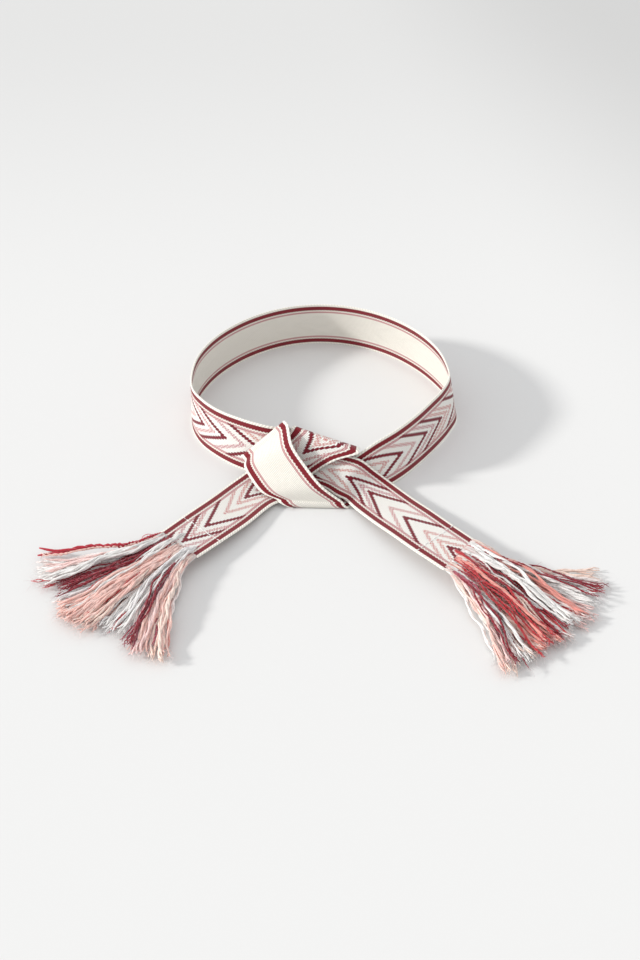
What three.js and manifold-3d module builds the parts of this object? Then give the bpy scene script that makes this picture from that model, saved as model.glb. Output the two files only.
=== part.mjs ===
// A woven sash belt tied into a ring with one overhand knot. The ring stands on its edge. Both tails
// run out level from the knot to the front, a little above the surface, and each ends in a fan of
// loose yarn that rests on it.
// Millimetres, +Z up. The frame's origin is under the middle of the whole belt, on the surface.
import * as THREE from 'three';
import { mergeVertices } from 'three/addons/utils/BufferGeometryUtils.js';
import Module from 'manifold-3d';

const BAND_WIDTH = 48;
const BAND_THICKNESS = 1.4;
const RING_DEPTH = 200;        // from the knot to the far side of the ring
const FRINGE_LENGTH = 118;
const FRINGE_HEAD_LENGTH = 5;
const FRINGE_HEAD_HEIGHT = 2.6;
const LOCK_WIDTH = 10.5;       // one lock of yarn at its widest
const LOCK_TIP_HEIGHT = 7;
const LOCK_SWELL = 5;          // how far a lock's back bulges above the straight line to its tip
const SEAT_GAP = 0.3;
const RUN_STEP = 6.5;          // greatest length of one facet along the band
const FOLD_STEPS = 6;
const ACROSS_STEPS = 4;
const LOCK_STEPS = 9;

// The route of the band as cross lines from selvage to selvage. Each row holds the line's middle and
// the line itself: [right, back, up, lineRight, lineBack, lineUp]. right and back are shares of
// RING_DEPTH, and up and the line are shares of BAND_WIDTH. A line at a slant is longer than 1, and
// one where the cloth is gathered inside the knot is shorter.
const LEFT_TAIL = [
  [-0.58, -0.505, 0.22, 0.68, -0.68, 0],
  [-0.48, -0.3825, 0.19, 0.72, -0.69, 0],
  [-0.3875, -0.2625, 0.14, 0.73, -0.7, 0],
  [-0.2975, -0.13, 0.08, 0.77, -0.65, 0.01],
];
// Out of the tail, under the wrap and up the front of the knot.
const CENTRE_CLIMB = [
  [-0.2375, -0.0775, 0.11, 0.69, -0.73, -0.08],
  [-0.175, -0.055, 0.31, 0.68, -0.51, -0.26],
  [-0.1025, -0.03, 0.56, 0.71, -0.33, -0.34],
  [-0.035, -0.025, 0.81, 0.84, -0.42, -0.29],
];
const TOP_ROLL = {
  entry: [0.0225, -0.02, 0.95, 1.19, -0.46, -0.25],
  exit: [0.0325, 0.03, 0.8, 1.1, -0.28, -0.2],
  roundness: 0.35,
};
const LOW_TURN = {
  entry: [0.05, 0.0375, 0.27, 0.96, -0.04, 0.43],
  exit: [0.05, 0.065, 0.3, 0.96, -0.05, 0.46],
  roundness: 1,
};
// Behind the knot, out to the left, round the ring on edge and back to the knot from the right.
const RING = [
  [-0.0325, 0.0725, 0.31, 0.56, 0.11, 0.6],
  [-0.1475, 0.06, 0.42, 0.23, 0.29, 0.85],
  [-0.245, 0.065, 0.46, 0.12, 0.25, 0.94],
  [-0.3525, 0.11, 0.48, 0.1, 0.19, 0.98],
  [-0.4575, 0.185, 0.49, 0.06, 0.12, 0.99],
  [-0.53, 0.27, 0.49, 0.05, 0.07, 1],
  [-0.5725, 0.36, 0.49, 0.02, 0, 1],
  [-0.585, 0.475, 0.49, 0.03, 0, 1],
  [-0.56, 0.64, 0.49, 0.02, -0.01, 1],
  [-0.4775, 0.81, 0.49, 0.02, -0.04, 1],
  [-0.3375, 0.96, 0.49, 0.02, -0.07, 1],
  [-0.175, 1.0525, 0.49, 0.01, -0.1, 1],
  [-0.01, 1.085, 0.49, 0, -0.11, 1],
  [0.1625, 1.06, 0.49, -0.02, -0.1, 1],
  [0.325, 0.9775, 0.49, -0.04, -0.08, 1],
  [0.4625, 0.845, 0.49, -0.06, -0.04, 1],
  [0.5575, 0.6875, 0.49, -0.1, -0.02, 1],
  [0.6, 0.55, 0.49, -0.17, 0, 0.99],
  [0.605, 0.445, 0.49, -0.18, 0.04, 0.99],
  [0.565, 0.3425, 0.49, -0.18, 0.02, 0.99],
  [0.515, 0.2575, 0.49, -0.18, 0.06, 0.99],
  [0.44, 0.15, 0.48, -0.17, 0.08, 0.99],
  [0.3575, 0.05, 0.47, -0.23, 0.07, 0.96],
];
// Down under the right tail and flat to the bottom fold at the front.
const UNDERPASS = [
  [0.275, -0.015, 0.41, -0.38, 0.12, 0.82],
  [0.195, -0.0575, 0.29, -0.5, 0.23, 0.56],
  [0.095, -0.1025, 0.12, -0.75, 0.35, 0.23],
  [0.0225, -0.1475, 0.03, -1.02, 0.27, 0.05],
];
const BOTTOM_FOLD = {
  entry: [0.005, -0.1875, 0, -1.02, 0.06, 0],
  exit: [-0.04, -0.1875, 0.11, -1.18, 0.07, 0],
  roundness: 0.5,
};
// The wrap, which shows the cloth's plain side as it climbs over everything to the upper left.
const WRAP = [
  [-0.12, -0.1625, 0.3, -1.09, 0.15, -0.26],
  [-0.185, -0.0925, 0.5, -1.01, 0.19, -0.42],
  [-0.2225, -0.04, 0.66, -0.88, 0.12, -0.58],
];
const SIDE_FOLD = {
  entry: [-0.2325, 0.0275, 0.76, -0.79, -0.04, -0.78],
  exit: [-0.235, 0.06, 0.64, -0.79, -0.02, -0.8],
  roundness: 1,
};
// Back under the centre piece, over the right arm of the ring and down to the tail's height.
const RETURN = [
  [-0.155, 0.03, 0.49, -0.66, -0.16, -0.62],
  [-0.045, -0.025, 0.44, -0.45, -0.24, -0.57],
  [0.055, -0.0775, 0.44, -0.3, -0.38, -0.47],
  [0.1225, -0.1075, 0.39, -0.44, -0.44, -0.48],
  [0.175, -0.11, 0.22, -0.59, -0.47, -0.27],
];
const RIGHT_TAIL = [
  [0.23, -0.1575, 0.14, -0.72, -0.61, -0.07],
  [0.31, -0.265, 0.17, -0.75, -0.65, -0.01],
  [0.38, -0.3575, 0.22, -0.75, -0.66, 0],
  [0.465, -0.4675, 0.26, -0.71, -0.69, 0],
  [0.565, -0.5825, 0.28, -0.57, -0.81, 0],
];

// The fans of yarn, one row for each lock in order across the band's end: [turn, reach]. turn is the
// angle in degrees between the tail's own direction and the line from the middle of the band's end
// to the lock's tip, and reach is that line's share of FRINGE_LENGTH.
const LEFT_LOCKS = [
  [-49, 0.97], [-41, 0.98], [-33, 0.98], [-25, 0.97], [-16, 0.97], [-8, 0.97],
  [0, 0.95], [8, 0.89], [15, 0.86], [24, 0.96], [32, 1.05], [41, 0.9],
];
const RIGHT_LOCKS = [
  [41, 1.01], [34, 1.01], [28, 1.01], [21, 1.02], [15, 1.02], [8, 1.01],
  [2, 0.99], [-4, 0.98], [-10, 1], [-17, 1.03], [-23, 1.09], [-29, 0.91],
];

const wasm = await Module();
wasm.setup();

// One cross line of the band as its two selvage points.
function crossLine([right, back, up, lineRight, lineBack, lineUp]) {
  const middle = new THREE.Vector3(
    right * RING_DEPTH, back * RING_DEPTH, up * BAND_WIDTH + BAND_THICKNESS / 2);
  const half = new THREE.Vector3(lineRight, lineBack, lineUp).multiplyScalar(BAND_WIDTH / 2);
  return [middle.clone().sub(half), middle.clone().add(half)];
}

// A fold turns the band back on itself: both selvages swing round half an ellipse, away from the
// cross line that comes before the fold.
function foldLines(before, fold) {
  const entry = crossLine(fold.entry);
  const exit = crossLine(fold.exit);
  const crease = entry[1].clone().sub(entry[0]).add(exit[1]).sub(exit[0]).normalize();
  const onward = entry[0].clone().add(entry[1]).sub(before[0]).sub(before[1]);
  const lines = [entry];
  for (let step = 1; step < FOLD_STEPS; step += 1) {
    const angle = Math.PI * step / FOLD_STEPS;
    lines.push(entry.map((start, side) => {
      const half = start.clone().sub(exit[side]).multiplyScalar(0.5);
      const bulge = crease.clone().cross(half).normalize();
      bulge.multiplyScalar(Math.sign(bulge.dot(onward)) * half.length() * fold.roundness);
      return start.clone().sub(half)
        .addScaledVector(half, Math.cos(angle))
        .addScaledVector(bulge, Math.sin(angle));
    }));
  }
  lines.push(exit);
  return lines;
}

// All cross lines of the route, from the left end to the right end.
function routeLines() {
  const lines = [...LEFT_TAIL, ...CENTRE_CLIMB].map(crossLine);
  lines.push(...foldLines(lines.at(-1), TOP_ROLL));
  lines.push(...foldLines(lines.at(-1), LOW_TURN));
  lines.push(...[...RING, ...UNDERPASS].map(crossLine));
  lines.push(...foldLines(lines.at(-1), BOTTOM_FOLD));
  lines.push(...WRAP.map(crossLine));
  lines.push(...foldLines(lines.at(-1), SIDE_FOLD));
  lines.push(...[...RETURN, ...RIGHT_TAIL].map(crossLine));
  return lines;
}

// Smooth curves through the selvage points, read at matching places along both selvages.
function smoothLines(lines) {
  const selvages = [0, 1].map((side) => {
    return new THREE.CatmullRomCurve3(lines.map((line) => line[side]), false, 'centripetal');
  });
  const smooth = [];
  const last = lines.length - 1;
  for (let index = 0; index < last; index += 1) {
    const stretch = Math.max(...[0, 1].map((side) => {
      return lines[index][side].distanceTo(lines[index + 1][side]);
    }));
    const steps = Math.ceil(stretch / RUN_STEP);
    for (let step = 0; step < steps; step += 1) {
      smooth.push(selvages.map((curve) => curve.getPoint((index + step / steps) / last)));
    }
  }
  smooth.push(lines[last]);
  return smooth;
}

// A closed solid through a list of sections with the same number of points, an even one. Each end
// is closed by quads between the section's first half and its second.
function loft(sections) {
  const count = sections[0].length;
  const positions = sections.flat().flatMap((point) => [point.x, point.y, Math.max(point.z, 0)]);
  const index = [];
  for (let row = 0; row < sections.length - 1; row += 1) {
    for (let column = 0; column < count; column += 1) {
      const a = row * count + column;
      const b = row * count + (column + 1) % count;
      index.push(a, b, a + count, b, b + count, a + count);
    }
  }
  const end = (sections.length - 1) * count;
  for (let column = 0; column < count / 2 - 1; column += 1) {
    const a = column;
    const b = column + 1;
    const c = count - 2 - column;
    const d = count - 1 - column;
    index.push(a, c, b, a, d, c);
    index.push(end + a, end + b, end + c, end + a, end + c, end + d);
  }
  const geometry = new THREE.BufferGeometry();
  geometry.setAttribute('position', new THREE.Float32BufferAttribute(positions, 3));
  geometry.setIndex(index);
  return geometry;
}

// The band: its upper face is the patterned side on the tails and on the outside of the ring.
function bandSections(lines) {
  return lines.map((line, row) => {
    const before = lines[Math.max(row - 1, 0)];
    const after = lines[Math.min(row + 1, lines.length - 1)];
    const across = line[1].clone().sub(line[0]);
    const face = [];
    const back = [];
    for (let step = 0; step <= ACROSS_STEPS; step += 1) {
      const share = step / ACROSS_STEPS;
      const along = after[0].clone().lerp(after[1], share)
        .sub(before[0].clone().lerp(before[1], share));
      const normal = across.clone().cross(along).normalize();
      const point = line[0].clone().lerp(line[1], share);
      face.push(point.clone().addScaledVector(normal, BAND_THICKNESS / 2));
      back.unshift(point.clone().addScaledVector(normal, -BAND_THICKNESS / 2));
    }
    return [...face, ...back];
  });
}

// One lock of yarn: it leaves the band's end straight on, bends to its tip and is heaped up from the
// surface to a rounded back that falls from rootHeight to the tip.
function lockGeometry(root, middle, outward, rootHeight, turn, reach) {
  const length = reach * FRINGE_LENGTH;
  const heading = outward.clone().applyAxisAngle(new THREE.Vector3(0, 0, 1), turn * Math.PI / 180);
  const bend = root.clone().addScaledVector(outward, length * 0.35);
  const tip = middle.clone().addScaledVector(heading, length);
  const curve = new THREE.QuadraticBezierCurve3(root, bend, tip);
  const sections = [];
  for (let step = 0; step <= LOCK_STEPS; step += 1) {
    const share = step / LOCK_STEPS;
    const point = curve.getPoint(share);
    const along = curve.getTangent(share);
    const side = new THREE.Vector3(-along.y, along.x, 0);
    const belly = Math.sin(Math.PI * (0.12 + 0.72 * share));
    const halfWidth = LOCK_WIDTH / 2 * belly;
    const height = rootHeight + (LOCK_TIP_HEIGHT - rootHeight) * share
      + LOCK_SWELL * Math.sin(Math.PI * share);
    const corners = [[-1, 0.5], [-0.6, 1], [0.6, 1], [1, 0.5], [0.6, 0], [-0.6, 0]];
    sections.push(corners.map(([sideways, up]) => {
      return point.clone().addScaledVector(side, -sideways * halfWidth).setZ(up * height);
    }));
  }
  return loft(sections);
}

function solidOf(geometry) {
  const welded = mergeVertices(geometry);
  return new wasm.Manifold(new wasm.Mesh({
    numProp: 3,
    vertProperties: welded.attributes.position.array,
    triVerts: Uint32Array.from(welded.index.array),
  }));
}

function geometryOf(solid) {
  const mesh = solid.getMesh();
  const geometry = new THREE.BufferGeometry();
  geometry.setAttribute('position', new THREE.BufferAttribute(mesh.vertProperties, 3));
  geometry.setIndex(new THREE.BufferAttribute(mesh.triVerts, 1));
  return geometry;
}

// A fringe: a head strip along the band's end with all its locks fused to it. endLine runs from
// selvage to selvage, and inner is the cross line before it, which tells which way is out.
function fringeGeometry(endLine, inner, locks) {
  const across = endLine[1].clone().sub(endLine[0]);
  const middle = endLine[0].clone().lerp(endLine[1], 0.5);
  const endHeight = middle.z;
  middle.setZ(0);
  const tailward = middle.clone().sub(inner[0].clone().lerp(inner[1], 0.5)).setZ(0).normalize();
  const square = new THREE.Vector3(across.y, -across.x, 0).normalize();
  square.multiplyScalar(Math.sign(square.dot(tailward)));
  const head = new THREE.BoxGeometry(across.length() * 0.96, FRINGE_HEAD_LENGTH, FRINGE_HEAD_HEIGHT);
  head.deleteAttribute('normal');
  head.deleteAttribute('uv');
  head.rotateZ(Math.atan2(across.y, across.x));
  const headMiddle = middle.clone().addScaledVector(square, SEAT_GAP + FRINGE_HEAD_LENGTH / 2);
  head.translate(headMiddle.x, headMiddle.y, endHeight);
  const rootHeight = endHeight + FRINGE_HEAD_HEIGHT / 2;
  let solid = solidOf(head);
  locks.forEach(([turn, reach], order) => {
    const share = (order + 0.5) / locks.length - 0.5;
    const root = headMiddle.clone().addScaledVector(across, share * 0.9).setZ(0);
    solid = solid.add(solidOf(lockGeometry(root, middle, tailward, rootHeight, turn, reach)));
  });
  return geometryOf(solid);
}

function piece(name, geometry, color, roughness) {
  const material = new THREE.MeshStandardMaterial({ color, roughness, metalness: 0 });
  const mesh = new THREE.Mesh(geometry, material);
  mesh.name = name;
  return mesh;
}

const lines = smoothLines(routeLines());
const belt = new THREE.Group();
belt.add(piece('woven_band', loft(bandSections(lines)), 0xe9dcd2, 0.9));
belt.add(piece('fringe_left', fringeGeometry(lines[0], lines[1], LEFT_LOCKS), 0xd98a84, 0.95));
belt.add(piece('fringe_right', fringeGeometry(lines.at(-1), lines.at(-2), RIGHT_LOCKS), 0xd98a84, 0.95));

const middle = new THREE.Box3().setFromObject(belt).getCenter(new THREE.Vector3());
belt.position.set(-middle.x, -middle.y, 0);

export default belt;
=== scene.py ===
import math
import random

import bpy
import numpy as np
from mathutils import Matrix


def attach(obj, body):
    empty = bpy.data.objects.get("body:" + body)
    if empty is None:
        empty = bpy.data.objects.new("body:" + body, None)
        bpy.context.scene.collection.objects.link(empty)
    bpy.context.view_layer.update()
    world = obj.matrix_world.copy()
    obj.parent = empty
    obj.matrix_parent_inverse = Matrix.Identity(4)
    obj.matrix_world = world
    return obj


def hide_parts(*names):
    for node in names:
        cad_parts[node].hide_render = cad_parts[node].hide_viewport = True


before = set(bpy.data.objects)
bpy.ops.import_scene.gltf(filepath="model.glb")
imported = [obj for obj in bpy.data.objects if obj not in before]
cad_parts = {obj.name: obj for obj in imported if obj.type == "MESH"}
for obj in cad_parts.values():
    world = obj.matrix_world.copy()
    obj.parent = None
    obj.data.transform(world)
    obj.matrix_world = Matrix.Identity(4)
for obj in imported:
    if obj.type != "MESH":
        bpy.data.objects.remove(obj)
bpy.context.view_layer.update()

scene = bpy.context.scene


# Camera
# The photograph looks down on the belt from the front at 38 degrees, through a moderately long lens.
CAMERA_ELEVATION = math.radians(38)
CAMERA_DISTANCE = 1.352
CAMERA_TARGET = (-0.00008, 0.00946, 0.0)
CAMERA_LENS = 57.8
SENSOR_WIDTH = 36
IMAGE_WIDTH, IMAGE_HEIGHT = 640, 960

camera_data = bpy.data.cameras.new("camera")
camera_data.lens = CAMERA_LENS
camera_data.sensor_width = SENSOR_WIDTH
camera = bpy.data.objects.new("camera", camera_data)
camera.location = (
    CAMERA_TARGET[0],
    CAMERA_TARGET[1] - CAMERA_DISTANCE * math.cos(CAMERA_ELEVATION),
    CAMERA_DISTANCE * math.sin(CAMERA_ELEVATION),
)
camera.rotation_euler = (math.pi / 2 - CAMERA_ELEVATION, 0, 0)
scene.collection.objects.link(camera)
scene.camera = camera
scene.render.resolution_x = IMAGE_WIDTH
scene.render.resolution_y = IMAGE_HEIGHT
scene.view_settings.view_transform = "Standard"


# Light
# A large lamp far off to the left, a little on the viewer's side and low, gives the soft long
# shadows to the right. Everything else is bright even fill from a white studio.
KEY_ALTITUDE = math.radians(24)
KEY_HEADING = math.radians(7)
KEY_STRENGTH = 2.5
KEY_SOFTNESS = math.radians(7)
KEY_COLOUR = (1.0, 0.985, 0.955)
FILL_COLOUR = (0.985, 0.99, 1.0, 1)
FILL_STRENGTH = 0.86

key_data = bpy.data.lights.new("key", "SUN")
key_data.energy = KEY_STRENGTH
key_data.angle = KEY_SOFTNESS
key_data.color = KEY_COLOUR
key = bpy.data.objects.new("key", key_data)
key.rotation_euler = (0, math.pi / 2 - KEY_ALTITUDE, KEY_HEADING + math.pi)
scene.collection.objects.link(key)

world = bpy.data.worlds.new("studio")
world.use_nodes = True
world.node_tree.nodes["Background"].inputs["Color"].default_value = FILL_COLOUR
world.node_tree.nodes["Background"].inputs["Strength"].default_value = FILL_STRENGTH
scene.world = world


# Floor
# Seamless white studio paper. It is not part of the belt. Painted shade darkens its colour softly away
# from the lamps, most of all far back on the right.
FLOOR_HALF = 4.0
PAPER_COLOUR = (0.775, 0.775, 0.77, 1)
FAR_START, FAR_END, FAR_PAINTED_SHADE = 0.15, 1.1, 0.12
CORNER_START, CORNER_END, CORNER_PAINTED_SHADE = 0.45, 1.1, 0.13
CORNER_RIGHT, CORNER_BACK = 1.6, 0.4


class Wires:
    """Adds math nodes to a node tree; values may be numbers or sockets."""

    def __init__(self, tree):
        self.tree = tree

    def feed(self, socket, value):
        if isinstance(value, bpy.types.NodeSocket):
            self.tree.links.new(value, socket)
        else:
            socket.default_value = value

    def math(self, operation, *values, clamp=False):
        node = self.tree.nodes.new("ShaderNodeMath")
        node.operation = operation
        node.use_clamp = clamp
        for socket, value in zip(node.inputs, values):
            self.feed(socket, value)
        return node.outputs[0]

    def ramp(self, value, start, end):
        """0 below start, 1 above end."""
        node = self.tree.nodes.new("ShaderNodeMapRange")
        node.interpolation_type = "SMOOTHSTEP"
        self.feed(node.inputs["Value"], value)
        node.inputs["From Min"].default_value = start
        node.inputs["From Max"].default_value = end
        return node.outputs[0]

    def mix(self, share, first, second, blend="MIX"):
        node = self.tree.nodes.new("ShaderNodeMix")
        node.data_type = "RGBA"
        node.blend_type = blend
        self.feed(node.inputs[0], share)
        self.feed(node.inputs[6], first)
        self.feed(node.inputs[7], second)
        return node.outputs[2]

    def noise(self, x, y, z, scale, detail=2.0):
        vector = self.tree.nodes.new("ShaderNodeCombineXYZ")
        for socket, value in zip(vector.inputs, (x, y, z)):
            self.feed(socket, value)
        node = self.tree.nodes.new("ShaderNodeTexNoise")
        self.tree.links.new(vector.outputs[0], node.inputs["Vector"])
        node.inputs["Scale"].default_value = scale
        node.inputs["Detail"].default_value = detail
        return node.outputs["Fac"]

    def attribute(self, name, output="Fac"):
        node = self.tree.nodes.new("ShaderNodeAttribute")
        node.attribute_name = name
        return node.outputs[output]

    def bump(self, height, strength, distance):
        node = self.tree.nodes.new("ShaderNodeBump")
        node.inputs["Strength"].default_value = strength
        node.inputs["Distance"].default_value = distance
        self.feed(node.inputs["Height"], height)
        return node.outputs["Normal"]


floor_mesh = bpy.data.meshes.new("floor")
floor_mesh.from_pydata(
    [(-FLOOR_HALF, -FLOOR_HALF, 0), (FLOOR_HALF, -FLOOR_HALF, 0),
     (FLOOR_HALF, FLOOR_HALF, 0), (-FLOOR_HALF, FLOOR_HALF, 0)],
    [], [(0, 1, 2, 3)])
floor = bpy.data.objects.new("floor", floor_mesh)
scene.collection.objects.link(floor)
floor_material = bpy.data.materials.new("paper")
floor_material.use_nodes = True
w = Wires(floor_material.node_tree)
floor_shader = floor_material.node_tree.nodes["Principled BSDF"]
place = floor_material.node_tree.nodes.new("ShaderNodeTexCoord").outputs["Object"]
apart = floor_material.node_tree.nodes.new("ShaderNodeSeparateXYZ")
w.feed(apart.inputs[0], place)
# Painted shade: the paper's colour darkens far back and towards the back right corner.
to_corner = w.math("ADD", w.math("MULTIPLY", apart.outputs["X"], CORNER_RIGHT),
                   w.math("MULTIPLY", apart.outputs["Y"], CORNER_BACK))
far_painted_shade = w.math("MULTIPLY", w.ramp(apart.outputs["Y"], FAR_START, FAR_END), FAR_PAINTED_SHADE)
corner_painted_shade = w.math("MULTIPLY", w.ramp(to_corner, CORNER_START, CORNER_END), CORNER_PAINTED_SHADE)
w.feed(floor_shader.inputs["Base Color"], w.mix(
    w.math("ADD", far_painted_shade, corner_painted_shade), PAPER_COLOUR, (0, 0, 0, 1)))
floor_shader.inputs["Roughness"].default_value = 0.9
floor_shader.inputs["Specular IOR Level"].default_value = 0.1
floor_mesh.materials.append(floor_material)


# Woven band: its route
# One hand-woven cotton band, tied in a single overhand knot. Its route is the same list of cross
# lines from selvage to selvage as in the CAD source, in shares of the ring's depth and the width.
BAND_WIDTH = 48.0
BAND_THICKNESS = 1.4
RING_DEPTH = 200.0
FOLD_STEPS = 6
FRAME_SHIFT = np.array([-0.07845, 9.45677, 0.0])

LEFT_TAIL = [
    [-0.58, -0.505, 0.22, 0.68, -0.68, 0],
    [-0.48, -0.3825, 0.19, 0.72, -0.69, 0],
    [-0.3875, -0.2625, 0.14, 0.73, -0.7, 0],
    [-0.2975, -0.13, 0.08, 0.77, -0.65, 0.01],
]
CENTRE_CLIMB = [
    [-0.2375, -0.0775, 0.11, 0.69, -0.73, -0.08],
    [-0.175, -0.055, 0.31, 0.68, -0.51, -0.26],
    [-0.1025, -0.03, 0.56, 0.71, -0.33, -0.34],
    [-0.035, -0.025, 0.81, 0.84, -0.42, -0.29],
]
TOP_ROLL = ([0.0225, -0.02, 0.95, 1.19, -0.46, -0.25], [0.0325, 0.03, 0.8, 1.1, -0.28, -0.2], 0.35)
LOW_TURN = ([0.05, 0.0375, 0.27, 0.96, -0.04, 0.43], [0.05, 0.065, 0.3, 0.96, -0.05, 0.46], 1)
RING = [
    [-0.0325, 0.0725, 0.31, 0.56, 0.11, 0.6],
    [-0.1475, 0.06, 0.42, 0.23, 0.29, 0.85],
    [-0.245, 0.065, 0.46, 0.12, 0.25, 0.94],
    [-0.3525, 0.11, 0.48, 0.1, 0.19, 0.98],
    [-0.4575, 0.185, 0.49, 0.06, 0.12, 0.99],
    [-0.53, 0.27, 0.49, 0.05, 0.07, 1],
    [-0.5725, 0.36, 0.49, 0.02, 0, 1],
    [-0.585, 0.475, 0.49, 0.03, 0, 1],
    [-0.56, 0.64, 0.49, 0.02, -0.01, 1],
    [-0.4775, 0.81, 0.49, 0.02, -0.04, 1],
    [-0.3375, 0.96, 0.49, 0.02, -0.07, 1],
    [-0.175, 1.0525, 0.49, 0.01, -0.1, 1],
    [-0.01, 1.085, 0.49, 0, -0.11, 1],
    [0.1625, 1.06, 0.49, -0.02, -0.1, 1],
    [0.325, 0.9775, 0.49, -0.04, -0.08, 1],
    [0.4625, 0.845, 0.49, -0.06, -0.04, 1],
    [0.5575, 0.6875, 0.49, -0.1, -0.02, 1],
    [0.6, 0.55, 0.49, -0.17, 0, 0.99],
    [0.605, 0.445, 0.49, -0.18, 0.04, 0.99],
    [0.565, 0.3425, 0.49, -0.18, 0.02, 0.99],
    [0.515, 0.2575, 0.49, -0.18, 0.06, 0.99],
    [0.44, 0.15, 0.48, -0.17, 0.08, 0.99],
    [0.3575, 0.05, 0.47, -0.23, 0.07, 0.96],
]
UNDERPASS = [
    [0.275, -0.015, 0.41, -0.38, 0.12, 0.82],
    [0.195, -0.0575, 0.29, -0.5, 0.23, 0.56],
    [0.095, -0.1025, 0.12, -0.75, 0.35, 0.23],
    [0.0225, -0.1475, 0.03, -1.02, 0.27, 0.05],
]
BOTTOM_FOLD = ([0.005, -0.1875, 0, -1.02, 0.06, 0], [-0.04, -0.1875, 0.11, -1.18, 0.07, 0], 0.5)
WRAP = [
    [-0.12, -0.1625, 0.3, -1.09, 0.15, -0.26],
    [-0.185, -0.0925, 0.5, -1.01, 0.19, -0.42],
    [-0.2225, -0.04, 0.66, -0.88, 0.12, -0.58],
]
SIDE_FOLD = ([-0.2325, 0.0275, 0.76, -0.79, -0.04, -0.78], [-0.235, 0.06, 0.64, -0.79, -0.02, -0.8], 1)
RETURN = [
    [-0.155, 0.03, 0.49, -0.66, -0.16, -0.62],
    [-0.045, -0.025, 0.44, -0.45, -0.24, -0.57],
    [0.055, -0.0775, 0.44, -0.3, -0.38, -0.47],
    [0.1225, -0.1075, 0.39, -0.44, -0.44, -0.48],
    [0.175, -0.11, 0.22, -0.59, -0.47, -0.27],
]
RIGHT_TAIL = [
    [0.23, -0.1575, 0.14, -0.72, -0.61, -0.07],
    [0.31, -0.265, 0.17, -0.75, -0.65, -0.01],
    [0.38, -0.3575, 0.22, -0.75, -0.66, 0],
    [0.465, -0.4675, 0.26, -0.71, -0.69, 0],
    [0.565, -0.5825, 0.28, -0.57, -0.81, 0],
]


def cross_line(row):
    height = row[2] * BAND_WIDTH + BAND_THICKNESS / 2
    middle = np.array([row[0] * RING_DEPTH, row[1] * RING_DEPTH, height])
    half = np.array(row[3:]) * BAND_WIDTH / 2
    return np.array([middle - half, middle + half]) + FRAME_SHIFT


def fold_lines(before, fold):
    entry = cross_line(fold[0])
    leave = cross_line(fold[1])
    crease = entry[1] - entry[0] + leave[1] - leave[0]
    onward = entry.sum(0) - before.sum(0)
    lines = [entry]
    for step in range(1, FOLD_STEPS):
        angle = math.pi * step / FOLD_STEPS
        line = []
        for side in range(2):
            half = (entry[side] - leave[side]) / 2
            bulge = np.cross(crease, half)
            bulge *= np.sign(bulge @ onward) * np.linalg.norm(half) * fold[2] / np.linalg.norm(bulge)
            line.append(entry[side] - half + half * math.cos(angle) + bulge * math.sin(angle))
        lines.append(np.array(line))
    lines.append(leave)
    return lines


def route_lines():
    lines = [cross_line(row) for row in LEFT_TAIL + CENTRE_CLIMB]
    lines += fold_lines(lines[-1], TOP_ROLL)
    lines += fold_lines(lines[-1], LOW_TURN)
    lines += [cross_line(row) for row in RING + UNDERPASS]
    lines += fold_lines(lines[-1], BOTTOM_FOLD)
    lines += [cross_line(row) for row in WRAP]
    lines += fold_lines(lines[-1], SIDE_FOLD)
    lines += [cross_line(row) for row in RETURN + RIGHT_TAIL]
    return np.array(lines)


def smooth(points, spans):
    """A centripetal Catmull-Rom curve through the points, read spans[i] times on stretch i."""
    padded = np.vstack([2 * points[0] - points[1], points, 2 * points[-1] - points[-2]])
    read = []
    for index, count in enumerate(spans):
        p0, p1, p2, p3 = padded[index:index + 4]
        d0 = np.linalg.norm(p1 - p0) ** 0.5
        d1 = np.linalg.norm(p2 - p1) ** 0.5
        d2 = np.linalg.norm(p3 - p2) ** 0.5
        t1 = d1 * ((p1 - p0) / d0 - (p2 - p0) / (d0 + d1) + (p2 - p1) / d1)
        t2 = d1 * ((p2 - p1) / d1 - (p3 - p1) / (d1 + d2) + (p3 - p2) / d2)
        for step in range(count):
            u = step / count
            read.append(p1 + t1 * u + (3 * (p2 - p1) - 2 * t1 - t2) * u * u
                        + (2 * (p1 - p2) + t1 + t2) * u ** 3)
    read.append(points[-1])
    return np.array(read)


def distance_along(points):
    return np.concatenate([[0], np.cumsum(np.linalg.norm(np.diff(points, axis=0), axis=1))])


# Woven band: its mesh
# A firm warp-faced weave with a thicker corded selvage on each side. The mesh keeps the distance
# along and across the band at every point, in millimetres, for the pattern.
ALONG_STEP = 1.65
FIELD_HALF_THICKNESS = 0.62
SELVAGE_HALF_THICKNESS = 0.72
SELVAGE_ROUNDING = 0.7
SELVAGE_START = 21.3
SELVAGE_SLOPE = 1.2            # over this width the cloth thickens to the selvage
ACROSS_COUNT = 38
LOWEST = 0.02                  # the cloth stays this far above the surface
PITCH_REACH = 2                # the chevrons' pitch is read over twice this length

# Where the points of the chevrons lie along the band, as [millimetres, running number]. Numbers
# 0, 2 and 4 of every seven are maroon, the others pink.
CHEVRONS = [
    [-25, 0], [5.8, 2], [15.6, 3], [33.1, 4], [58.1, 5], [75.8, 6], [87.4, 7], [116, 9], [156.5, 11],
    [190, 14], [215, 16], [247, 18], [288.2, 21], [305.6, 22], [325.8, 23], [339.7, 24], [354.1, 25],
    [405, 28], [460, 32], [512, 35], [565, 39], [617, 42], [669, 46], [721, 49], [773.4, 53],
    [792.9, 54], [803.9, 55], [814.6, 56], [827.4, 57], [840.5, 58], [859.3, 59], [877.5, 60],
    [927, 63], [982, 67], [1028, 70], [1089, 74], [1143.2, 77], [1156.9, 78], [1167.3, 79],
    [1195.3, 80], [1214.6, 81], [1241, 82], [1257.2, 83], [1269.2, 84], [1302, 86],
]
CHEVRON_SLOPE = 2.18           # millimetres along the band for each millimetre out from the middle

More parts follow.
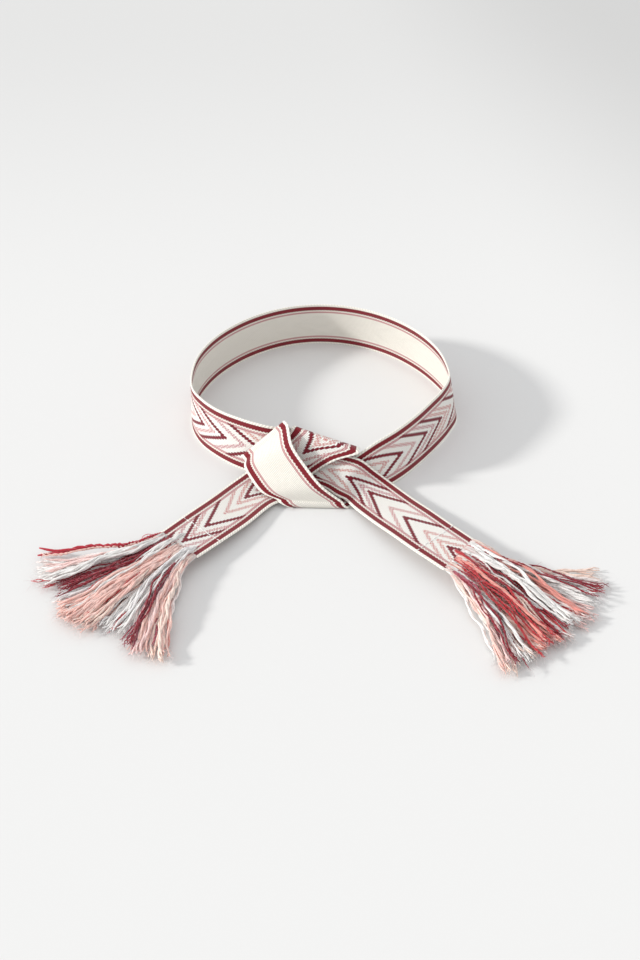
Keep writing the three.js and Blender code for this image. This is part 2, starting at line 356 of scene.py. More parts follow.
control = route_lines()
stretches = np.linalg.norm(np.diff(control, axis=0), axis=2).max(1)
spans = np.ceil(stretches / ALONG_STEP).astype(int)
selvages = np.stack([smooth(control[:, 0], spans), smooth(control[:, 1], spans)], 1)
centre = selvages.mean(1)
band_along = distance_along(centre)

half_width = BAND_WIDTH / 2
inner_half = half_width - SELVAGE_ROUNDING
arc = [SELVAGE_ROUNDING * math.sin(math.radians(angle)) for angle in (90, 68, 42)]
outer = [inner_half + reach for reach in arc]
field_read = list(np.linspace(-inner_half, inner_half, ACROSS_COUNT + 1))
across_read = np.array([-reach for reach in outer] + field_read + outer[::-1])


def half_thickness(across):
    out = np.abs(across)
    cord = np.clip((out - SELVAGE_START) / SELVAGE_SLOPE, 0, 1)
    flat = FIELD_HALF_THICKNESS + (SELVAGE_HALF_THICKNESS - FIELD_HALF_THICKNESS) * cord
    rounding = np.clip((out - inner_half) / SELVAGE_ROUNDING, 0, 1)
    return flat * np.sqrt(np.maximum(1 - rounding ** 2, 0))


share = (across_read / BAND_WIDTH + 0.5)[None, :, None]
surface = selvages[:, :1] * (1 - share) + selvages[:, 1:] * share
tangent = np.gradient(surface, axis=0)
normal = np.cross((selvages[:, 1] - selvages[:, 0])[:, None, :], tangent)
normal /= np.linalg.norm(normal, axis=2, keepdims=True)
lift = half_thickness(across_read)[None, :, None]
face_points = surface + normal * lift
back_points = (surface - normal * lift)[:, 1:-1][:, ::-1]
ring_points = np.concatenate([face_points, back_points], 1)
ring_points[:, :, 2] = np.maximum(ring_points[:, :, 2], LOWEST)
ring_across = np.concatenate([across_read, across_read[1:-1][::-1]])
row_count, ring_count = ring_points.shape[:2]
face_count = len(across_read)

quads = []
for row in range(row_count - 1):
    for column in range(ring_count):
        a = row * ring_count + column
        b = row * ring_count + (column + 1) % ring_count
        quads.append((a, a + ring_count, b + ring_count, b))
for start, flipped in ((0, False), ((row_count - 1) * ring_count, True)):
    cap = [start + column for column in range(ring_count)]
    quads.append(tuple(cap[::-1] if flipped else cap))

band_mesh = bpy.data.meshes.new("woven_cloth")
band_mesh.from_pydata((ring_points.reshape(-1, 3) / 1000).tolist(), [], quads)
band_mesh.polygons.foreach_set("use_smooth", [True] * len(band_mesh.polygons))

along_grid = np.repeat(band_along, ring_count)
across_grid = np.tile(ring_across, row_count)
chevron_at = np.array([row[0] for row in CHEVRONS])
chevron_number = np.array([row[1] for row in CHEVRONS])
folded = along_grid - CHEVRON_SLOPE * np.abs(across_grid)
number_grid = np.interp(folded, chevron_at, chevron_number)
number_ahead = np.interp(folded + PITCH_REACH, chevron_at, chevron_number)
number_behind = np.interp(folded - PITCH_REACH, chevron_at, chevron_number)
pitch_grid = 2 * PITCH_REACH / np.maximum(number_ahead - number_behind, 0.05)
outside = np.tile(np.arange(ring_count) < face_count, row_count).astype(float)
for label, values in (("along", along_grid), ("across", across_grid), ("number", number_grid),
                      ("pitch", pitch_grid), ("outside", outside)):
    stored = band_mesh.attributes.new(label, "FLOAT", "POINT")
    stored.data.foreach_set("value", values.astype(np.float32))
band_mesh.update()
band = bpy.data.objects.new("woven_cloth", band_mesh)
scene.collection.objects.link(band)


# Woven band: its pattern
# Warp-float pattern weaving: maroon and pink chevrons in a white field, and on each side a hatched
# rose stripe, a fine cream zigzag and a maroon stripe. The back is plain cream between the stripes.
COLUMN = 1.4                   # one pair of warp threads
FLOAT_LENGTH = 7.6             # a warp float of a chevron, along the band
RIB = 1.6                      # one weft rib
FIELD_EDGE = 13.4
CHEVRON_EDGE = 15.2
ROSE_EDGE = 15.9
CREAM_EDGE = 17.3
MAROON_EDGE = 21.7
ZIGZAG = 1.45                  # half a wave of the cream line between rose and maroon
TOOTH_HEIGHT = 0.5
EDGE_SOFTNESS = 0.12
FIELD_SOFTNESS = 0.3
FLOAT_SOFTNESS = 0.25
FLOAT_ROUNDING = 3.2           # the sides of a float stop short by a quarter of this
DOT_DEPTH = 0.62               # how far every second rib of a pink chevron fades
MAROON_WAVE = 0.12


def node_group(name, inputs, outputs):
    """An empty shader node group with float inputs, and its wires."""
    group = bpy.data.node_groups.new(name, "ShaderNodeTree")
    for label in inputs:
        group.interface.new_socket(name=label, in_out="INPUT", socket_type="NodeSocketFloat")
    for label, kind in outputs:
        group.interface.new_socket(name=label, in_out="OUTPUT", socket_type=kind)
    entry = group.nodes.new("NodeGroupInput")
    leave = group.nodes.new("NodeGroupOutput")
    return group, Wires(group), entry.outputs, leave.inputs


# Masks of the two kinds of chevron, from the distances along and across and the running number.
chevron_group, w, given, result = node_group(
    "chevrons", ["Along", "Across", "Number", "Pitch"],
    [("Maroon", "NodeSocketFloat"), ("Pink", "NodeSocketFloat"), ("Tint", "NodeSocketFloat")])
out_from_middle = w.math("ABSOLUTE", given["Across"])
column = w.math("FLOOR", w.math("DIVIDE", out_from_middle, COLUMN))
column_middle = w.math("MULTIPLY", w.math("ADD", column, 0.5), COLUMN)
nearest = w.math("ROUND", given["Number"])
gap = w.math("MULTIPLY", w.math("SUBTRACT", given["Number"], nearest), given["Pitch"])
step_back = w.math("MULTIPLY", w.math("SUBTRACT", out_from_middle, column_middle), CHEVRON_SLOPE)
distance = w.math("ABSOLUTE", w.math("ADD", gap, step_back))
column_share = w.math("SUBTRACT", w.math("DIVIDE", out_from_middle, COLUMN),
                      w.math("ADD", column, 0.5))
float_end = w.math("MULTIPLY", w.math("MULTIPLY", column_share, column_share), FLOAT_ROUNDING)
reach = w.math("SUBTRACT", FLOAT_LENGTH / 2, float_end)
line_mask = w.math("SUBTRACT", 1.0, w.ramp(
    w.math("SUBTRACT", distance, reach), -FLOAT_SOFTNESS, FLOAT_SOFTNESS))
order = w.math("FLOORED_MODULO", nearest, 7.0)
even = w.math("LESS_THAN", w.math("FLOORED_MODULO", order, 2.0), 0.5)
is_maroon = w.math("MULTIPLY", even, w.math("LESS_THAN", order, 5.0))
within_chevron = w.math("LESS_THAN", out_from_middle, CHEVRON_EDGE)
within_field = w.math("LESS_THAN", out_from_middle, FIELD_EDGE + 0.9)
rib_number = w.math("FLOOR", w.math("DIVIDE", given["Along"], RIB))
checker = w.math("FLOORED_MODULO", w.math("ADD", rib_number, column), 2.0)
dotted = w.math("ADD", w.math("MULTIPLY", checker, DOT_DEPTH), 1 - DOT_DEPTH)
maroon = w.math("MULTIPLY", w.math("MULTIPLY", line_mask, is_maroon), within_chevron)
is_pink = w.math("SUBTRACT", 1.0, is_maroon)
pink = w.math("MULTIPLY", w.math("MULTIPLY", line_mask, is_pink), within_field)
w.feed(result["Maroon"], maroon)
w.feed(result["Pink"], w.math("MULTIPLY", pink, dotted))
w.feed(result["Tint"], w.math("DIVIDE", order, 6.0))

# Masks of the edge stripes, which are the same on both sides of the cloth.
stripe_group, w, given, result = node_group(
    "edge_stripes", ["Along", "Across"],
    [(label, "NodeSocketFloat") for label in ("Rose", "Cream", "Maroon", "Selvage", "Hatch")])
out_from_middle = w.math("ABSOLUTE", given["Across"])
zigzag = w.math("PINGPONG", given["Along"], ZIGZAG)
tooth = w.math("MULTIPLY", w.math("SUBTRACT", zigzag, ZIGZAG / 2), TOOTH_HEIGHT)
toothed = w.math("SUBTRACT", out_from_middle, tooth)
inner_edge = w.ramp(out_from_middle, FIELD_EDGE - FIELD_SOFTNESS, FIELD_EDGE + FIELD_SOFTNESS)
rose_end = w.ramp(toothed, ROSE_EDGE - EDGE_SOFTNESS, ROSE_EDGE + EDGE_SOFTNESS)
cream_end = w.ramp(toothed, CREAM_EDGE - EDGE_SOFTNESS, CREAM_EDGE + EDGE_SOFTNESS)
maroon_wave = w.math("MULTIPLY", w.math("SINE", w.math("MULTIPLY", given["Along"], 2.6)), MAROON_WAVE)
maroon_end = w.ramp(w.math("ADD", out_from_middle, maroon_wave),
                    MAROON_EDGE - EDGE_SOFTNESS, MAROON_EDGE + EDGE_SOFTNESS)
slant = w.math("ADD", w.math("MULTIPLY", given["Along"], 2.0), w.math("MULTIPLY", out_from_middle, 3.4))
hatch = w.math("ADD", w.math("MULTIPLY", w.math("SINE", slant), 0.5), 0.5)
w.feed(result["Rose"], w.math("SUBTRACT", inner_edge, rose_end, clamp=True))
w.feed(result["Cream"], w.math("SUBTRACT", rose_end, cream_end, clamp=True))
w.feed(result["Maroon"], w.math("SUBTRACT", cream_end, maroon_end, clamp=True))
w.feed(result["Selvage"], maroon_end)
w.feed(result["Hatch"], hatch)

# Height of the threads: rounded warp columns, weft ribs between them, and a corded selvage.
relief_group, w, given, result = node_group(
    "thread_relief", ["Along", "Across"], [("Height", "NodeSocketFloat")])
across_turn = w.math("MULTIPLY", given["Across"], math.pi / COLUMN)
ridge = w.math("ABSOLUTE", w.math("SINE", across_turn))
half_rib = w.math("MULTIPLY", w.math("FLOORED_MODULO", w.math("FLOOR", w.math(
    "DIVIDE", given["Across"], COLUMN)), 2.0), RIB / 2)
rib_turn = w.math("MULTIPLY", w.math("ADD", given["Along"], half_rib), math.pi / RIB)
rib = w.math("ABSOLUTE", w.math("SINE", rib_turn))
weave = w.math("MULTIPLY", ridge, w.math("ADD", w.math("MULTIPLY", rib, 0.55), 0.45))
cord_turn = w.math("ADD", w.math("MULTIPLY", given["Along"], 2.2),
                   w.math("MULTIPLY", given["Across"], 1.6))
cord_height = w.math("ADD", w.math("MULTIPLY", w.math("SINE", cord_turn), 0.35), 0.65)
on_selvage = w.ramp(w.math("ABSOLUTE", given["Across"]), MAROON_EDGE - 0.2, MAROON_EDGE + 0.2)
height = w.math("ADD", w.math("MULTIPLY", weave, w.math("SUBTRACT", 1.0, on_selvage)),
                w.math("MULTIPLY", cord_height, on_selvage))
w.feed(result["Height"], height)

CLOTH_WHITE = (0.91, 0.89, 0.845, 1)
CLOTH_CREAM = (0.88, 0.85, 0.775, 1)
CLOTH_MAROON = (0.225, 0.012, 0.021, 1)
CHEVRON_MAROON = (0.20, 0.011, 0.023, 1)
CLOTH_ROSE = (0.50, 0.205, 0.215, 1)
CLOTH_ROSE_LIGHT = (0.70, 0.47, 0.46, 1)
CLOTH_ROSE_BACK = (0.60, 0.335, 0.33, 1)
CLOTH_SALMON = (0.68, 0.33, 0.30, 1)
CLOTH_DUSTY = (0.55, 0.27, 0.30, 1)

band_material = bpy.data.materials.new("woven_cotton")
band_material.use_nodes = True
w = Wires(band_material.node_tree)
shader = band_material.node_tree.nodes["Principled BSDF"]
along = w.attribute("along")
across = w.attribute("across")
outside_mask = w.ramp(w.attribute("outside"), 0.4, 0.6)


def use_group(wires, group, **values):
    node = wires.tree.nodes.new("ShaderNodeGroup")
    node.node_tree = group
    for label, value in values.items():
        wires.feed(node.inputs[label], value)
    return node.outputs


chevrons = use_group(w, chevron_group, Along=along, Across=across,
                     Number=w.attribute("number"), Pitch=w.attribute("pitch"))
stripes = use_group(w, stripe_group, Along=along, Across=across)
relief = use_group(w, relief_group, Along=along, Across=across)
mottle = w.noise(along, across, 0.0, 0.35, 3.0)
streak = w.noise(w.math("MULTIPLY", along, 0.12), across, 4.0, 1.6, 2.0)
pink_colour = w.mix(chevrons["Tint"], CLOTH_DUSTY, CLOTH_SALMON)
field = w.mix(chevrons["Pink"], CLOTH_WHITE, pink_colour)
field = w.mix(chevrons["Maroon"], field, CHEVRON_MAROON)
field = w.mix(outside_mask, CLOTH_CREAM, field)
rose = w.mix(w.math("MULTIPLY", stripes["Hatch"], outside_mask), CLOTH_ROSE, CLOTH_ROSE_LIGHT)
rose = w.mix(w.math("SUBTRACT", 1.0, outside_mask), rose, CLOTH_ROSE_BACK)
not_chevron = w.math("SUBTRACT", 1.0, w.math("MULTIPLY", chevrons["Maroon"], outside_mask))
back_rose = w.ramp(w.math("ABSOLUTE", across), ROSE_EDGE - 2.2, ROSE_EDGE - 1.9)
rose_mask = w.math("MULTIPLY", stripes["Rose"], w.math("MAXIMUM", back_rose, outside_mask))
colour = w.mix(w.math("MULTIPLY", rose_mask, not_chevron), field, rose)
colour = w.mix(stripes["Cream"], colour, CLOTH_CREAM)
colour = w.mix(stripes["Maroon"], colour, CLOTH_MAROON)
colour = w.mix(stripes["Selvage"], colour, CLOTH_CREAM)
# Painted shade: the cloth's colour darkens in the grooves between the threads, by their height; mottle
# and streaks then add random tone.
shade = w.math("ADD", w.math("MULTIPLY", relief["Height"], 0.42), 0.70)
shade = w.math("MULTIPLY", shade, w.math("ADD", w.math("MULTIPLY", mottle, 0.10), 0.95))
shade = w.math("MULTIPLY", shade, w.math("ADD", w.math("MULTIPLY", streak, 0.14), 0.93))
w.feed(shader.inputs["Base Color"], w.mix(1.0, colour, shade, "MULTIPLY"))
height = w.math("ADD", relief["Height"], w.math("MULTIPLY", chevrons["Maroon"], 0.5))
w.feed(shader.inputs["Normal"], w.bump(height, 0.7, 0.0005))
shader.inputs["Roughness"].default_value = 0.88
shader.inputs["Specular IOR Level"].default_value = 0.25
shader.inputs["Sheen Weight"].default_value = 0.18
shader.inputs["Sheen Roughness"].default_value = 0.5
band_mesh.materials.append(band_material)


# Fringes
# The warp threads run on past each end of the weave as loose yarn, mostly soft and partly hard-twisted,
# spread by hand into a fan and cut ragged. Each row is one bundle, roughly in order across the end.
YARN_REACH = 118.0
HEAP_TIP_HEIGHT = 7.0
HEAP_SWELL = 6.5
YARN_STEPS = 34
PLY_SIDES = 6
HALO_HAIRS = 1900
TIP_HAIRS = 600
COLOURS = {
    "maroon": (0.25, 0.020, 0.032),
    "wine": (0.38, 0.085, 0.115),
    "red": (0.48, 0.036, 0.044),
    "crimson": (0.36, 0.022, 0.038),
    "coral": (0.78, 0.31, 0.265),
    "salmon": (0.87, 0.535, 0.475),
    "peach": (0.92, 0.68, 0.59),
    "pink": (0.90, 0.61, 0.58),
    "blush": (0.91, 0.78, 0.75),
    "white": (0.88, 0.855, 0.83),
    "grey": (0.82, 0.795, 0.79),
}
HARD_TWISTED = ("maroon", "wine", "red")
# Yarn radii, lengths of one twist in millimetres, and how far the plies lie apart as a share.
HARD_YARN = ((0.85, 1.2), (6, 10), 0.52)
SOFT_YARN = ((1.25, 1.75), (24, 44), 0.36)
WAVES = ((1.2, 1.9), (2.7, 1.1), (6.2, 0.34))   # waves along a yarn, and how far each sways
TOP_LAYER = 2.6                # a bundle with this lift rides on top of the heap
# [colour, yarns, share across the end, turn of the tips, spread of the tips, reach, lift, start]
# turn and spread are degrees, reach is a share of YARN_REACH, lift over TOP_LAYER is how high in
# the heap the bundle rides, and start is how many millimetres inside the band's end it begins.
LEFT_FAN = [
    ["blush", 4, -0.44, -42, 7, 0.97, 1.1, 0], ["white", 6, -0.42, -37, 10, 0.96, 1.8, 0],
    ["pink", 3, -0.40, -39, 8, 0.95, 2.2, 0], ["white", 3, -0.36, -31, 6, 0.97, 2.6, 0],
    ["maroon", 6, -0.30, -27, 6, 0.90, 1.4, 0], ["red", 3, -0.28, -29, 7, 1.01, 0.6, 0],
    ["maroon", 3, -0.26, -21, 5, 0.93, 2.2, 0], ["grey", 4, -0.20, -19, 6, 0.92, 0.8, 0],
    ["blush", 4, -0.14, -16, 7, 0.95, 0.4, 0], ["white", 3, -0.16, -11, 6, 0.93, 2.4, 12],
    ["red", 1, -0.12, -17, 2, 0.89, 1.6, 0], ["salmon", 15, 0.05, -9, 11, 1.00, 2.1, 0],
    ["salmon", 15, 0.13, -3, 12, 1.00, 2.6, 0], ["peach", 5, 0.16, 1, 8, 0.97, 2.2, 0],
    ["red", 1, 0.15, 0, 2, 0.91, 3.0, 0], ["salmon", 3, 0.20, 5, 6, 0.95, 0.6, 0],
    ["grey", 4, 0.26, 8, 6, 0.90, 1.6, 6], ["white", 5, 0.30, 12, 8, 0.89, 1.8, 0],
    ["grey", 3, 0.30, 17, 6, 0.92, 2.7, 8], ["red", 2, 0.31, 13, 4, 0.91, 1.8, 0],
    ["white", 4, 0.33, 19, 6, 0.91, 2.1, 0], ["blush", 3, 0.34, 22, 6, 0.97, 1.8, 0],
    ["wine", 5, 0.36, 25, 6, 1.01, 1.9, 0], ["maroon", 2, 0.36, 26, 4, 1.05, 2.7, 0],
    ["salmon", 4, 0.39, 28, 6, 1.04, 1.8, 0], ["pink", 5, 0.41, 30, 6, 1.07, 1.8, 0],
    ["wine", 2, 0.42, 32, 5, 0.97, 2.5, 0], ["peach", 5, 0.45, 36, 6, 1.09, 1.8, 0],
    ["salmon", 2, 0.47, 38, 4, 1.08, 1.9, 0], ["coral", 1, 0.48, 40, 2, 0.98, 1.8, 0],
    ["blush", 2, 0.48, 38, 3, 0.93, 0.8, 0],
]
RIGHT_FAN = [
    ["peach", 4, -0.49, 41, 5, 0.95, 0.6, 0], ["blush", 3, -0.46, 37, 5, 0.98, 0.8, 0],
    ["maroon", 2, -0.43, 35, 3, 1.04, 1.8, 0], ["red", 2, -0.42, 33, 4, 1.01, 1.2, 0],
    ["white", 4, -0.40, 29, 5, 0.96, 2.0, 0], ["maroon", 2, -0.38, 29, 3, 1.00, 2.6, 0],
    ["white", 5, -0.36, 24, 6, 0.98, 1.4, 0], ["pink", 3, -0.30, 20, 6, 1.02, 1.0, 0],
    ["coral", 4, -0.44, 15, 4, 0.97, 2.2, 0], ["red", 3, -0.30, 15, 4, 0.99, 1.4, 0],
    ["blush", 5, -0.24, 13, 8, 1.02, 1.2, 0], ["white", 5, -0.34, 8, 4, 0.96, 3.4, 0],
    ["pink", 3, -0.18, 11, 6, 1.03, 0.8, 0], ["white", 4, -0.14, 5, 5, 0.98, 2.6, 0],
    ["maroon", 3, -0.12, 4, 3, 0.97, 1.8, 0], ["blush", 4, -0.06, 3, 6, 1.01, 1.0, 0],
    ["red", 3, -0.02, 0, 5, 0.99, 2.4, 6], ["coral", 3, 0.00, -1, 5, 0.98, 2.0, 0],
    ["maroon", 2, 0.02, -2, 4, 0.99, 2.8, 0], ["peach", 2, 0.04, -3, 4, 0.99, 2.6, 0],
    ["red", 3, 0.06, -4, 5, 0.99, 2.8, 0], ["coral", 2, 0.08, -5, 4, 0.99, 3.0, 0],
    ["white", 3, 0.05, -2, 4, 0.99, 1.2, 0], ["coral", 4, 0.14, -6, 6, 0.98, 1.4, 0],
    ["red", 3, 0.16, -10, 3, 1.00, 3.0, 0], ["salmon", 5, 0.40, -9, 5, 0.97, 2.0, 0],
    ["coral", 4, 0.34, -11, 5, 0.99, 1.6, 0], ["red", 2, 0.26, -14, 2, 1.05, 2.8, 0],
    ["peach", 4, 0.30, -15, 5, 1.02, 1.6, 0], ["white", 3, 0.24, -14, 5, 1.02, 0.9, 0],
    ["maroon", 2, 0.38, -17, 3, 0.92, 2.8, 0], ["peach", 4, 0.36, -18, 4, 1.00, 1.2, 0],
    ["white", 4, 0.38, -19, 4, 1.03, 2.0, 0], ["blush", 3, 0.40, -21, 4, 1.03, 1.4, 0],
    ["maroon", 3, 0.42, -23, 3, 1.08, 2.4, 0], ["grey", 3, 0.40, -21, 4, 1.00, 1.0, 0],
    ["pink", 4, 0.44, -26, 4, 1.04, 1.6, 0], ["wine", 2, 0.44, -25, 3, 0.84, 2.8, 0],
    ["peach", 5, 0.47, -27, 4, 1.09, 1.2, 0], ["salmon", 2, 0.48, -29, 3, 1.09, 1.8, 0],
    ["white", 3, 0.49, -30, 4, 0.94, 0.6, 0],
]


def side_and_top(path):
    """Unit vectors across a path and above it, at each of its points."""
    tangents = np.gradient(path, axis=0)
    tangents /= np.linalg.norm(tangents, axis=1, keepdims=True)
    side = np.cross(tangents, [0, 0, 1.0])
    side /= np.maximum(np.linalg.norm(side, axis=1, keepdims=True), 1e-6)
    return side, np.cross(side, tangents)


class YarnMesh:
    """Collects round tubes with a colour, a distance along and a random seed at each point."""

    def __init__(self):
        self.points = []
        self.faces = []
        self.colours = []
        self.along = []
        self.seeds = []
        self.total = 0

    def tube(self, path, radii, sides, colour, seed):
        path = np.asarray(path, float)
        radii = np.asarray(radii, float)
        side, top = side_and_top(path)
        turns = (np.arange(sides) * 2 * math.pi / sides)[None, :, None]
        ring = side[:, None] * np.cos(turns) + top[:, None] * np.sin(turns)
        points = path[:, None] + ring * radii[:, None, None]
        rows = len(path)
        run = distance_along(path)
        base = self.total
        for row in range(rows - 1):
            for corner in range(sides):
                a = base + row * sides + corner
                b = base + row * sides + (corner + 1) % sides
                self.faces.append((a, b, b + sides, a + sides))
        self.faces.append(tuple(base + corner for corner in range(sides))[::-1])
        self.faces.append(tuple(base + (rows - 1) * sides + corner for corner in range(sides)))
        self.points.append(points.reshape(-1, 3))
        self.colours.append(np.tile([*colour, 1.0], (rows * sides, 1)))
        self.along.append(np.repeat(run, sides))
        self.seeds.append(np.full(rows * sides, seed))
        self.total += rows * sides

    def object(self, name):
        points = np.concatenate(self.points)
        points[:, 2] = np.maximum(points[:, 2], 0.03)
        mesh = bpy.data.meshes.new(name)
        mesh.from_pydata((points / 1000).tolist(), [], self.faces)
        mesh.polygons.foreach_set("use_smooth", [True] * len(mesh.polygons))
        colour = mesh.color_attributes.new("yarn_colour", "FLOAT_COLOR", "POINT")
        colour.data.foreach_set("color", np.concatenate(self.colours).astype(np.float32).ravel())
        for label, values in (("run", self.along), ("seed", self.seeds)):
            stored = mesh.attributes.new(label, "FLOAT", "POINT")
            stored.data.foreach_set("value", np.concatenate(values).astype(np.float32))
        mesh.update()
        made = bpy.data.objects.new(name, mesh)
        scene.collection.objects.link(made)
        return made


def turned(direction, degrees):
    angle = math.radians(degrees)
    return np.array([
        direction[0] * math.cos(angle) - direction[1] * math.sin(angle),
        direction[0] * math.sin(angle) + direction[1] * math.cos(angle), 0.0])


def yarn_path(end, outward, share_across, turn, reach, lift, start, chance):
    """A loose yarn from the band's end to its tip, in the heap of yarns at the height of its layer."""
    across = end[1] - end[0]
    middle = end.mean(0) * [1, 1, 0]
    length = reach * YARN_REACH
    root = middle + across * [1, 1, 0] * share_across * 0.95 - outward * (start + 1.0)
    tip = middle + turned(outward, turn) * length
    bend = root + outward * (length * 0.35 + start)
    u = np.linspace(0, 1, YARN_STEPS)[:, None]
    path = root * (1 - u) ** 2 + bend * 2 * u * (1 - u) + tip * u ** 2
    heading = tip - root
    sideways = np.cross(heading / np.linalg.norm(heading), [0, 0, 1.0])
    share_along = u[:, 0]
    grow = np.minimum(share_along * 2.2, 1)
    wave = np.zeros(YARN_STEPS)
    for waves, size in WAVES:
        phase = waves * share_along * chance.uniform(0.8, 1.2) + chance.random()
        wave += size * np.sin(2 * math.pi * phase)
    wave -= wave[0]
    path = path + sideways * (wave * grow)[:, None]
    top = end[:, 2].mean() + (1.3 if start else 0.0)
    layer = min(lift / TOP_LAYER, 1.0)
    sink = np.clip((share_along - 0.04 - start / length) / 0.42, 0, 1)
    sink = sink * sink * (3 - 2 * sink) * (1 - layer)
    heap = top + (HEAP_TIP_HEIGHT - top) * share_along + HEAP_SWELL * np.sin(math.pi * share_along)
    fall = np.clip((share_along - 0.72) / 0.28, 0, 1) ** 1.6
    height = heap * (1 - sink) + 2.5 * sink
    height = height * (1 - fall) + (3 + 6 * layer) * chance.uniform(0.7, 1.1) * fall
    height += 0.5 * np.sin(2 * math.pi * (3 * share_along + chance.random())) * grow
    if start:
        run = share_along * length
        height = np.where(run < start + 3, top, height)
        height -= 1.9 * np.clip(1 - run / 4.0, 0, 1)
    path[:, 2] = np.maximum(height, 1.1)
    return path


def add_yarn(mesh, path, radius, colour, twist, chance, plies=2, sides=PLY_SIDES, apart=0.52):
    """Plies laid round each other along the path; they part a little at the cut end."""
    count = len(path)
    u = np.linspace(0, 1, count)
    side, top = side_and_top(path)
    run = distance_along(path)
    begin = chance.random() * 2 * math.pi
    swell = 1 + 0.16 * np.sin(2 * math.pi * (u * chance.uniform(2, 4) + chance.random()))
    fray = np.clip((u - 0.9) / 0.1, 0, 1) ** 1.5
    for ply in range(plies):
        turn = begin + 2 * math.pi * (run / twist + ply / plies)
        away = radius * apart * (1 + fray * chance.uniform(0.8, 3.0))
        offset = side * (np.cos(turn) * away)[:, None] + top * (np.sin(turn) * away)[:, None]
        thick = radius * 0.62 * swell * (0.35 + 0.65 * np.minimum(u * 12, 1)) * (1 - 0.55 * fray)
        tint = np.clip(np.array(colour) * chance.uniform(0.88, 1.1), 0, 1)
        mesh.tube(path + offset, thick, sides, tint, chance.random() * 50)


def add_hairs(mesh, paths, halo_count, tip_count, chance):
    """Fine fibres: a short halo all along the yarns, and longer ones at the frayed cut ends."""
    for order in range(halo_count + tip_count):
        path, colour = chance.choice(paths)
        at_tip = order >= halo_count
        share_along = 1 - chance.random() * 0.06 if at_tip else chance.uniform(0.08, 0.97)
        at = min(int(len(path) * share_along), len(path) - 2)
        along = path[at + 1] - path[at]
        start = path[at] + along * chance.random()
        along = along / np.linalg.norm(along)
        side = np.cross(along, [0, 0, 1.0])
        length = chance.uniform(3, 8) if at_tip else chance.uniform(2.5, 5.5)
        lean = chance.uniform(-0.7, 0.7) if at_tip else chance.uniform(-1.2, 1.2)
        rise = chance.uniform(-0.25, 0.35) if at_tip else chance.uniform(0.1, 0.9)
        curl = chance.uniform(-0.6, 0.6)
        u = np.linspace(0, 1, 4)[:, None]
        line = start + along * length * u + side * length * (lean * u + curl * u * u)
        line = line + np.array([0, 0, 1.0]) * length * (rise * u - 0.35 * u * u)
        line[:, 2] = np.maximum(line[:, 2], 0.15)
        pale = np.clip(np.array(colour) * 0.6 + 0.36, 0, 1)
        mesh.tube(line, np.linspace(0.11, 0.05, 4), 3, pale, chance.random() * 50)


def fringe(end, outward, fan, seed):
    chance = random.Random(seed)
    opening = math.copysign(1, fan[-1][3] - fan[0][3])
    mesh = YarnMesh()
    paths = []
    for colour, count, share_across, turn, spread, reach, lift, start in fan:
        for order in range(count):
            place = (order + 0.5) / count - 0.5
            where = share_across + place * 0.012 * count + chance.uniform(-0.012, 0.012)
            where = max(-0.5, min(0.5, where))
            aim = turn + opening * place * spread + chance.uniform(-1, 1)
            path = yarn_path(end, outward, where, aim, reach * chance.uniform(0.95, 1.02),
                             lift * chance.uniform(0.6, 1.2), start, chance)
            tint = COLOURS[colour]
            radii, twists, apart = HARD_YARN if colour in HARD_TWISTED else SOFT_YARN
            add_yarn(mesh, path, chance.uniform(*radii), tint, chance.uniform(*twists), chance,
                     apart=apart)
            paths.append((path, tint))
    return mesh, paths, chance


left_end = selvages[0]
left_outward = (centre[0] - centre[3]) * [1, 1, 0]
left_outward /= np.linalg.norm(left_outward)
right_end = selvages[-1]
right_outward = (centre[-1] - centre[-4]) * [1, 1, 0]
right_outward /= np.linalg.norm(right_outward)

# On the left a hard-twisted red strand runs along the upper edge of the fan, with a loose loop.
left_mesh, left_paths, left_chance = fringe(left_end, left_outward, LEFT_FAN, 11)
rope = yarn_path(left_end, left_outward, -0.49, -50, 0.98, 2.0, 0, random.Random(3))
add_yarn(left_mesh, rope, 2.0, COLOURS["crimson"], 4.6, left_chance, plies=2, sides=8)
rope_side = yarn_path(left_end, left_outward, -0.47, -48, 0.96, 2.0, 0, random.Random(3))
add_yarn(left_mesh, rope_side, 1.2, COLOURS["salmon"], 7.0, left_chance)
LOOP_POINTS = 13
LOOP_REACH = 3.4
LOOP_RADIUS = 0.28
loop_turn = np.linspace(0, math.pi, LOOP_POINTS)[:, None]
loop_start = rope[4] + [0, 0, 0.8]
loop_along = (rope[8] - rope[4]) / 2
loop_out = np.array([-0.55, 0.83, 0.25])
loop = loop_start + loop_along * (1 - np.cos(loop_turn)) + loop_out * LOOP_REACH * np.sin(loop_turn)
left_mesh.tube(loop, np.full(LOOP_POINTS, LOOP_RADIUS), 5, COLOURS["red"], 7.0)
add_hairs(left_mesh, left_paths, HALO_HAIRS, TIP_HAIRS, left_chance)
left_fringe = left_mesh.object("yarn_fan_left")

right_mesh, right_paths, right_chance = fringe(right_end, right_outward, RIGHT_FAN, 23)
add_hairs(right_mesh, right_paths, HALO_HAIRS, TIP_HAIRS, right_chance)
right_fringe = right_mesh.object("yarn_fan_right")

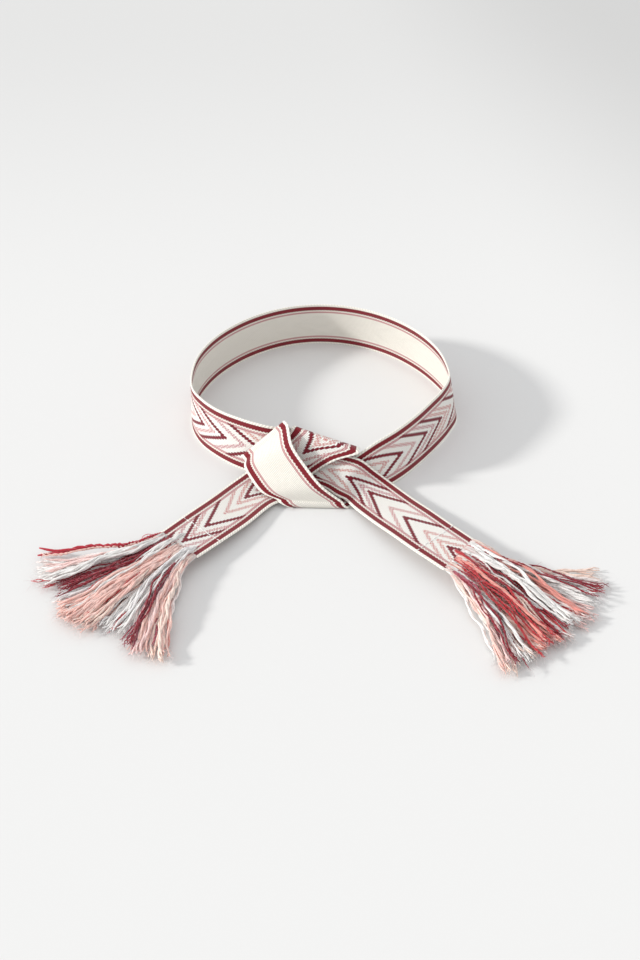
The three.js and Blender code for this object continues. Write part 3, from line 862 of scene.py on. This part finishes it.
yarn_material = bpy.data.materials.new("soft_yarn")
yarn_material.use_nodes = True
w = Wires(yarn_material.node_tree)
shader = yarn_material.node_tree.nodes["Principled BSDF"]
run = w.attribute("run")
seed = w.attribute("seed")
colour = w.attribute("yarn_colour", "Color")
slub = w.noise(w.math("MULTIPLY", run, 0.22), seed, 0.0, 1.0, 3.0)
fibre = w.noise(w.math("MULTIPLY", run, 1.4), w.math("MULTIPLY", seed, 3.0), 2.0, 1.0, 2.0)
shade = w.math("ADD", w.math("MULTIPLY", slub, 0.5), 0.74)
shade = w.math("MULTIPLY", shade, w.math("ADD", w.math("MULTIPLY", fibre, 0.34), 0.83))
w.feed(shader.inputs["Base Color"], w.mix(1.0, colour, shade, "MULTIPLY"))
w.feed(shader.inputs["Normal"], w.bump(fibre, 0.6, 0.0004))
shader.inputs["Roughness"].default_value = 0.92
shader.inputs["Specular IOR Level"].default_value = 0.2
shader.inputs["Sheen Weight"].default_value = 0.5
shader.inputs["Subsurface Weight"].default_value = 0.5
shader.inputs["Subsurface Radius"].default_value = (1.0, 1.0, 1.0)
shader.inputs["Subsurface Scale"].default_value = 0.002
shader.inputs["Sheen Roughness"].default_value = 0.45

for made, node in ((left_fringe, "fringe_left"), (right_fringe, "fringe_right")):
    made.data.materials.append(yarn_material)
    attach(made, "root")
    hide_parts(node)


# Stitch lines
# A row of white sewing thread crosses each tail near its end and keeps the weave from unravelling.
# Short stitches lie on top of the cloth, with the thread passing under between them.
STITCH_LENGTH = 3.6
STITCH_GAP = 1.4
STITCH_RADIUS = 0.36
STITCH_ARCH = 0.42
STITCH_WANDER = 0.35
STITCH_POINTS = 6
THREAD_COLOUR = (0.93, 0.92, 0.9)


def stitch_line(name, at):
    row = int(np.argmin(np.abs(band_along - at)))
    start, end = selvages[row]
    span = end - start
    up = normal[row, face_count // 2]
    onward = np.cross(span / np.linalg.norm(span), up)
    mesh = YarnMesh()
    count = int(BAND_WIDTH / (STITCH_LENGTH + STITCH_GAP))
    for index in range(count):
        middle = (index + 0.5) / count
        half = STITCH_LENGTH / 2 / BAND_WIDTH
        u = np.linspace(middle - half, middle + half, STITCH_POINTS)[:, None]
        arch = STITCH_ARCH * np.sin(np.linspace(0, math.pi, STITCH_POINTS))[:, None]
        wander = STITCH_WANDER * math.sin(index * 2.3)
        line = start + span * u + onward * wander + up * (FIELD_HALF_THICKNESS + 0.05 + arch)
        radii = np.full(STITCH_POINTS, STITCH_RADIUS)
        mesh.tube(line, radii, PLY_SIDES, THREAD_COLOUR, index * 1.7)
    made = mesh.object(name)
    made.data.materials.append(yarn_material)
    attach(made, "root")
    return made


stitches_left = stitch_line("stitches_left", 27.3)
stitches_right = stitch_line("stitches_right", 1253.8)

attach(band, "root")
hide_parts("woven_band")
